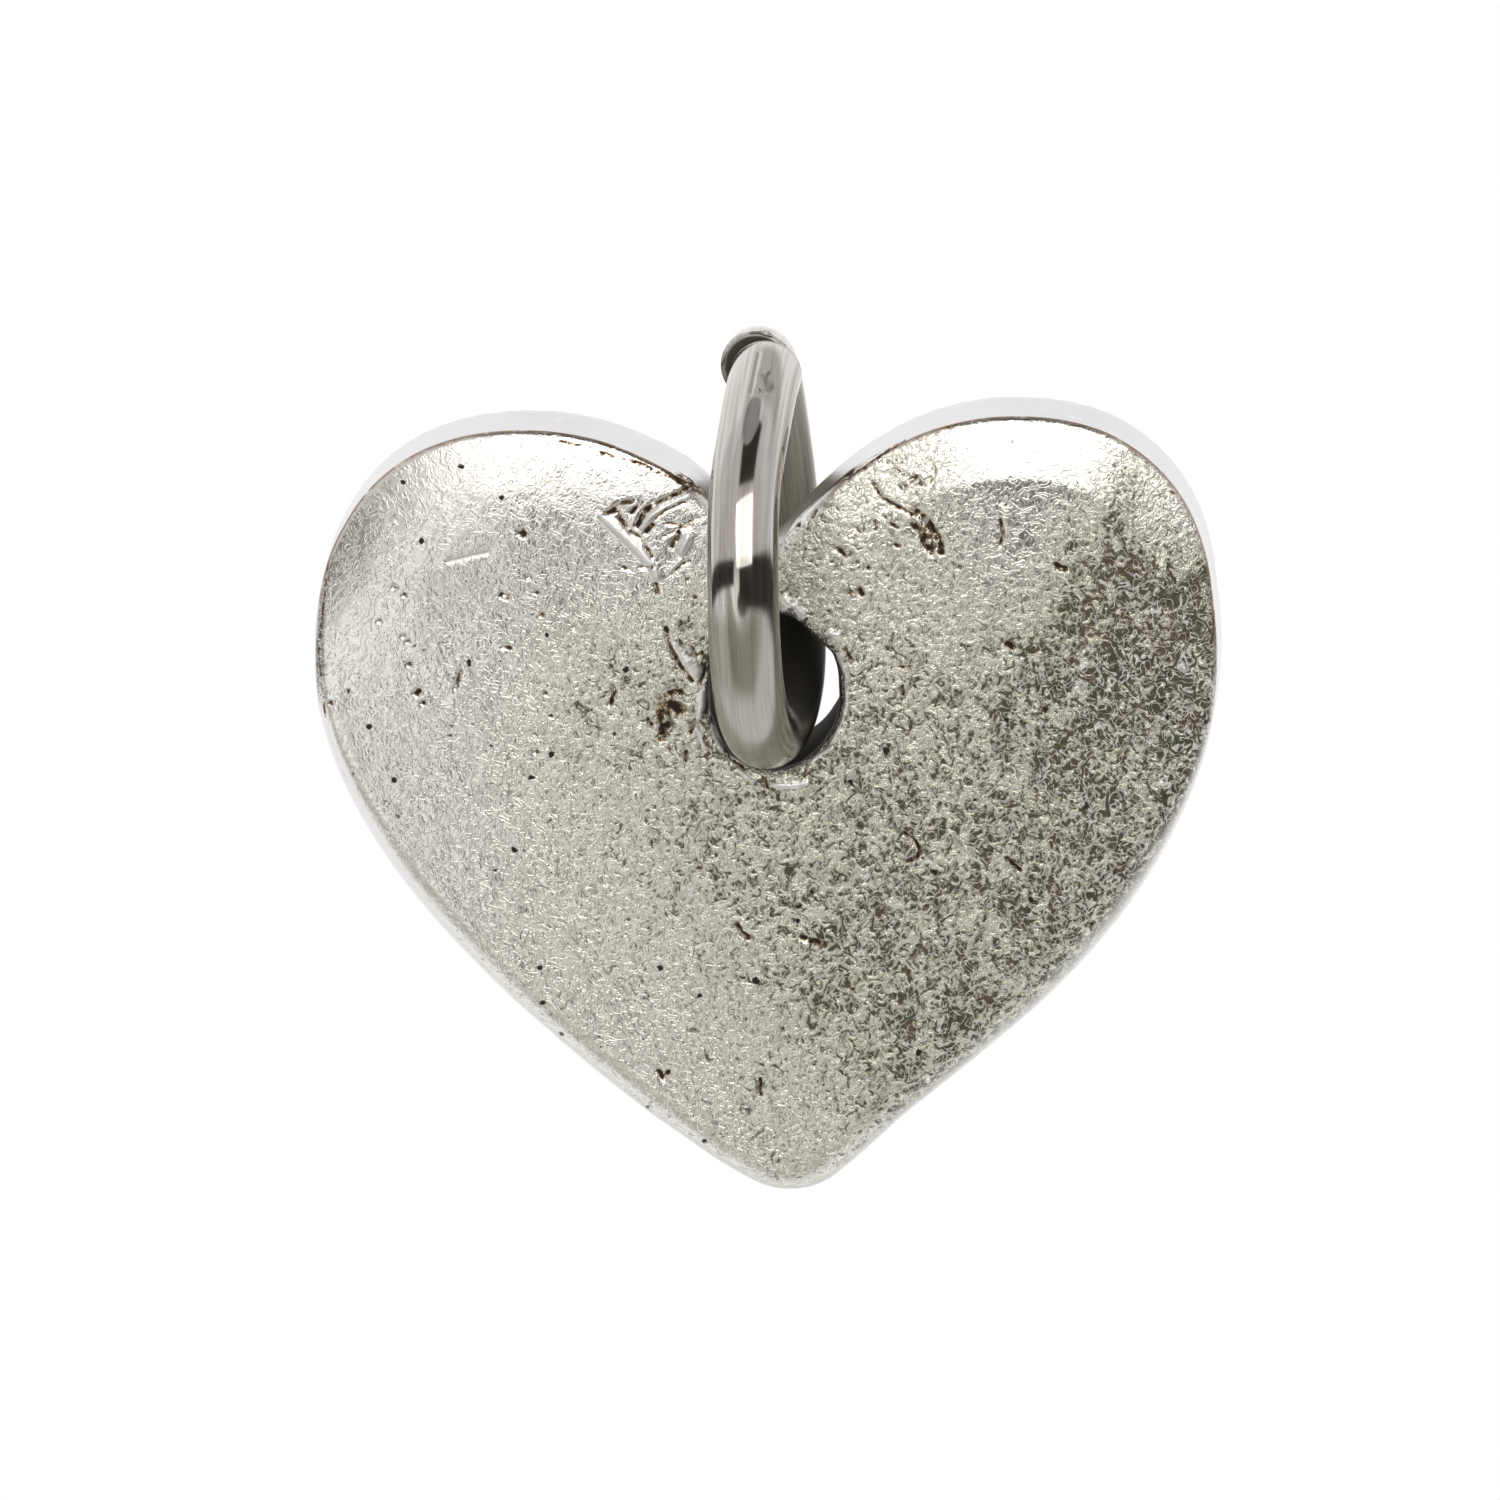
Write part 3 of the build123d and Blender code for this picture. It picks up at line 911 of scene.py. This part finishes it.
def note_wire(bm, settings, ring_radius):
    """Notes each point's place on the wire, how cut and stained it is and its painted shade, and bends the
    wire.

    A turn is in radians from the ring's bottom, with the front below 0 and the back above it.
    """
    wire = bm.verts.layers.float_vector.new("wire")
    cut = bm.verts.layers.float.new("cut")
    layers = {name: bm.verts.layers.float.new(name) for name in ("stain", "worn", "shade_and_dirt")}
    for vert in bm.verts:
        turn = math.atan2(vert.co.y, -vert.co.z)
        outwards = math.hypot(vert.co.y, vert.co.z) - ring_radius
        around = Vector((vert.co.x, outwards)).normalized() * settings.wire / 2 / MM
        vert[wire] = (turn * ring_radius / MM, around.x, around.y)
        end_gap = (math.pi - abs(turn)) * ring_radius - settings.gap / 2
        face = blend_step(math.hypot(vert.co.x, outwards), 0.56 * MM, 0.51 * MM)
        vert[cut] = blend_step(end_gap, 0.05 * MM, 0.0) * face
        # Painted shade: the wire's inner side is darkened to near black, and its inner back is stained
        # darker and darkened a little; the cut ends are darkened too
        inner = blend_step(around.y, 0.15, -0.25)
        shaded_inner_back = inner * blend_step(turn, 1.0, 1.5)
        sheltered = inner * blend_step(turn, -0.5, -0.2) * blend_step(turn, 1.6, 1.2)
        vert[layers["shade_and_dirt"]] = max(sheltered, 0.85 * vert[cut], 0.22 * shaded_inner_back)
        # Painted shade: the wire's lower front, more on its left side, is stained darker to stand in for a
        # darker reflection there
        low = blend_step(turn, -1.62, -1.42) * blend_step(turn, 1.2, 0.6)
        leftwards = blend_step(around.x, 0.1, -0.35) * blend_step(turn, -1.0, -1.2)
        vert[layers["stain"]] = max(shaded_inner_back, low * (0.6 + 0.35 * leftwards))
    for vert in bm.verts:
        turn = vert[wire][0] * MM / ring_radius
        reach = stray(REACH_SHARES, turn, settings)
        vert.co.x += stray(SIDE_SHARES, turn, settings)
        vert.co.y += math.sin(turn) * reach
        vert.co.z -= math.cos(turn) * reach
    return layers


class CHARM_OT_ring(Operator):
    """Bend the jump ring: round wire in an open turn whose cut ends just miss each other"""

    bl_idname = "charm.ring"
    bl_label = "Bend Jump Ring"

    def execute(self, context):
        settings = context.scene.charm_ring
        ring_radius = (settings.bore + settings.wire) / 2
        half_gap = settings.gap / 2 / ring_radius
        bm = open_wire(settings, ring_radius, half_gap)
        layers = note_wire(bm, settings, ring_radius)
        front = [face for face in bm.faces if face.calc_center_median().y < 0]
        split_near_marks(bm, RING_MARKS, front, margin=3)
        bm.normal_update()
        press_marks(bm, layers, RING_MARKS, in_view(bm.verts, 0.3 * MM))
        keep_inside(bm)
        piece = new_object("bent_ring", bm)
        piece.data.materials.append(nickel_wire(settings))
        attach(piece, "jump_ring")
        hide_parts("jump_ring")
        return {"FINISHED"}


def soft_box(name, settings, azimuth, elevation, width, height):
    """A soft light that faces the charm and that the camera doesn't see, in degrees."""
    outwards = direction(azimuth, elevation)
    light = bpy.data.lights.new(name, "AREA")
    light.shape = "RECTANGLE"
    light.size, light.size_y = (
        2 * settings.lamp_distance * math.tan(math.radians(span / 2)) for span in (width, height)
    )
    light.energy = settings.lamp_glow * math.pi * light.size * light.size_y
    light.color = settings.lamp_colour
    holder = bpy.data.objects.new(name, light)
    holder.location = outwards * settings.lamp_distance
    holder.rotation_euler = (-outwards).to_track_quat("-Z", "Y").to_euler()
    holder.visible_camera = False
    bpy.context.scene.collection.objects.link(holder)


def studio_world():
    """White to the camera. In the metal it is a pale room with a grey wall and dark openings in front.

    Azimuths and elevations are in degrees. x is to the right and y to the back, up to 1.
    """
    world = bpy.data.worlds.new("studio")
    bpy.context.scene.world = world
    world.use_nodes = True
    nodes = Nodes(world.node_tree)
    x, y, z = nodes.parts(nodes.place("Generated"))
    azimuth = x.math("ARCTAN2", x, y * -1.0) * math.degrees(1)
    elevation = z.math("ARCSINE", z) * math.degrees(1)
    sideways = abs(azimuth)

    # Heights that bend down or up towards the sides, as the room's edges do in the metal
    deep = elevation - x * x * 60
    raised = elevation + x * x * 26
    sag = sideways * 0.03 + azimuth * azimuth * 0.0012

    # The dark openings left, right and high in front
    top_edge = (elevation + sag).ramp(7.5, 10.5, 1.0, 0.0)
    left = azimuth.band(-125, -24, 3) * top_edge * (elevation + sag * 0.6).ramp(-6, -3)
    right = azimuth.band(-8, 130, 3) * top_edge * (elevation + sag * 0.3).ramp(-19, -15)
    high = x.band(-0.22, 0.52, 0.04) * raised.band(49, 73, 1.5) * y.ramp(0.0, -0.05)

    # The room's floor and ceiling, then where each other part lies and its colour
    room = nodes.mix(elevation.ramp(-50, -34), (0.70, 0.70, 0.67), (0.74, 0.73, 0.76))
    for mask, paint in (
        # The grey wall in front, the light at its left and the bright wall behind
        (azimuth.band(-75, 75, 12) * elevation.band(-60, 78, 5), (0.62, 0.60, 0.58)),
        (azimuth.band(-75, -7, 5) * elevation.band(-34, 0, 5), (1.0, 0.99, 0.95)),
        (sideways.ramp(95, 120) * elevation.band(-40, 62, 10), (1.0, 1.0, 1.0)),
        # The pale foot, the darker low wall before it and the grey high up behind
        (deep.ramp(-62, -72), (0.88, 0.88, 0.90)),
        (azimuth.band(-55, 50, 10) * deep.band(-68, -29, 5), (0.42, 0.42, 0.37)),
        (x.ramp(-0.25, 0.05) * y.ramp(0.1, 0.3) * elevation.band(26, 80, 6), (0.58, 0.56, 0.54)),
        # The dark grey overhead and the openings
        (x.band(-0.5, 0.55, 0.05) * raised.ramp(72, 75) * y.ramp(0.28, 0.2), (0.34, 0.33, 0.325)),
        (right | (left | high), (0.045, 0.043, 0.038)),
    ):
        room = nodes.mix(mask, room, paint)
    light_path = nodes.add("ShaderNodeLightPath")
    seen = nodes.mix(light_path.outputs["Is Camera Ray"], room, (1.0, 1.0, 1.0))
    back = nodes.add("ShaderNodeBackground", {"Color": seen, "Strength": 1.0})
    nodes.add("ShaderNodeOutputWorld", {"Surface": back.outputs[0]})


def studio_floor(settings):
    """A pale round floor under the charm, which fades out into the white behind it."""
    bm = bmesh.new()
    middle = (0, (HEART_FRONT + HEART_BACK) / 2, cad_box[0].z - settings.floor_drop)
    at = Matrix.Translation(middle)
    bmesh.ops.create_circle(bm, cap_ends=True, segments=96, radius=settings.floor_radius, matrix=at)
    floor = new_object("floor", bm)
    made, nodes = material("pale_floor")
    flat = nodes.vector("MULTIPLY", nodes.place(), (1, 1, 0))
    reach = nodes.add("ShaderNodeVectorMath", {0: flat}, operation="LENGTH").outputs["Value"]
    seen = nodes.add("ShaderNodeLightPath").outputs["Is Camera Ray"]
    clear = Value(nodes, reach).ramp(7 * MM, 16 * MM) * seen
    pale = nodes.add("ShaderNodeBsdfDiffuse", {"Color": (*settings.floor_colour, 1.0)})
    white = nodes.add("ShaderNodeEmission", {"Color": (1, 1, 1, 1), "Strength": 1.0})
    shader = nodes.add("ShaderNodeMixShader", {0: clear, 1: pale.outputs[0], 2: white.outputs[0]})
    nodes.add("ShaderNodeOutputMaterial", {"Surface": shader.outputs[0]})
    floor.data.materials.append(made)
    floor.visible_glossy = False


class CHARM_OT_stage(Operator):
    """Set the stage: a pale floor, a soft box, a white background and the photograph's camera"""

    bl_idname = "charm.stage"
    bl_label = "Set Stage"

    def execute(self, context):
        settings = context.scene.charm_stage
        studio_floor(settings)
        studio_world()
        soft_box("front_soft_box", settings, azimuth=9, elevation=22.5, width=52, height=37)
        half = PHOTO_WIDTH / 2
        shift_x = (half - RING_MIDDLE_PIXEL[0]) / PHOTO_SCALE * MM
        shift_z = (RING_MIDDLE_PIXEL[1] - half) / PHOTO_SCALE * MM
        aim = VIEW_RIGHT * shift_x + VIEW_UP * shift_z
        data = bpy.data.cameras.new("camera")
        data.sensor_width = 36
        data.lens = data.sensor_width * settings.distance / (PHOTO_WIDTH / PHOTO_SCALE * MM)
        data.clip_start = 0.01
        data.clip_end = 10
        camera = bpy.data.objects.new("camera", data)
        turn = Matrix((VIEW_RIGHT, VIEW_UP, VIEW_TOWARDS)).transposed().to_4x4()
        camera.matrix_world = Matrix.Translation(aim + VIEW_TOWARDS * settings.distance) @ turn
        context.scene.collection.objects.link(camera)
        context.scene.camera = camera
        context.scene.view_settings.view_transform = "Standard"
        return {"FINISHED"}


# Each tool: where the scene holds its settings, what they are and the operator
TOOLS = (
    ("charm_heart", HeartSettings, CHARM_OT_heart),
    ("charm_ring", RingSettings, CHARM_OT_ring),
    ("charm_stage", StageSettings, CHARM_OT_stage),
)


class CHARM_PT_panel(Panel):
    """The charm's tools and sizes in the sidebar"""

    bl_label = "Heart Charm"
    bl_idname = "CHARM_PT_panel"
    bl_space_type = "VIEW_3D"
    bl_region_type = "UI"
    bl_category = "Charm"

    def draw(self, context):
        for holder, _, operator in TOOLS:
            settings = getattr(context.scene, holder)
            box = self.layout.box()
            for name in settings.__annotations__:
                box.prop(settings, name)
            box.operator(operator.bl_idname)


def register():
    for holder, settings, operator in TOOLS:
        bpy.utils.register_class(settings)
        bpy.utils.register_class(operator)
        setattr(bpy.types.Scene, holder, PointerProperty(type=settings))
    bpy.utils.register_class(CHARM_PT_panel)


def unregister():
    bpy.utils.unregister_class(CHARM_PT_panel)
    for holder, settings, operator in TOOLS:
        delattr(bpy.types.Scene, holder)
        bpy.utils.unregister_class(operator)
        bpy.utils.unregister_class(settings)


def main():
    """Make the charm and its stage."""
    register()
    bpy.ops.charm.ring()
    bpy.ops.charm.heart()
    bpy.ops.charm.stage()


if __name__ == "__main__":
    main()
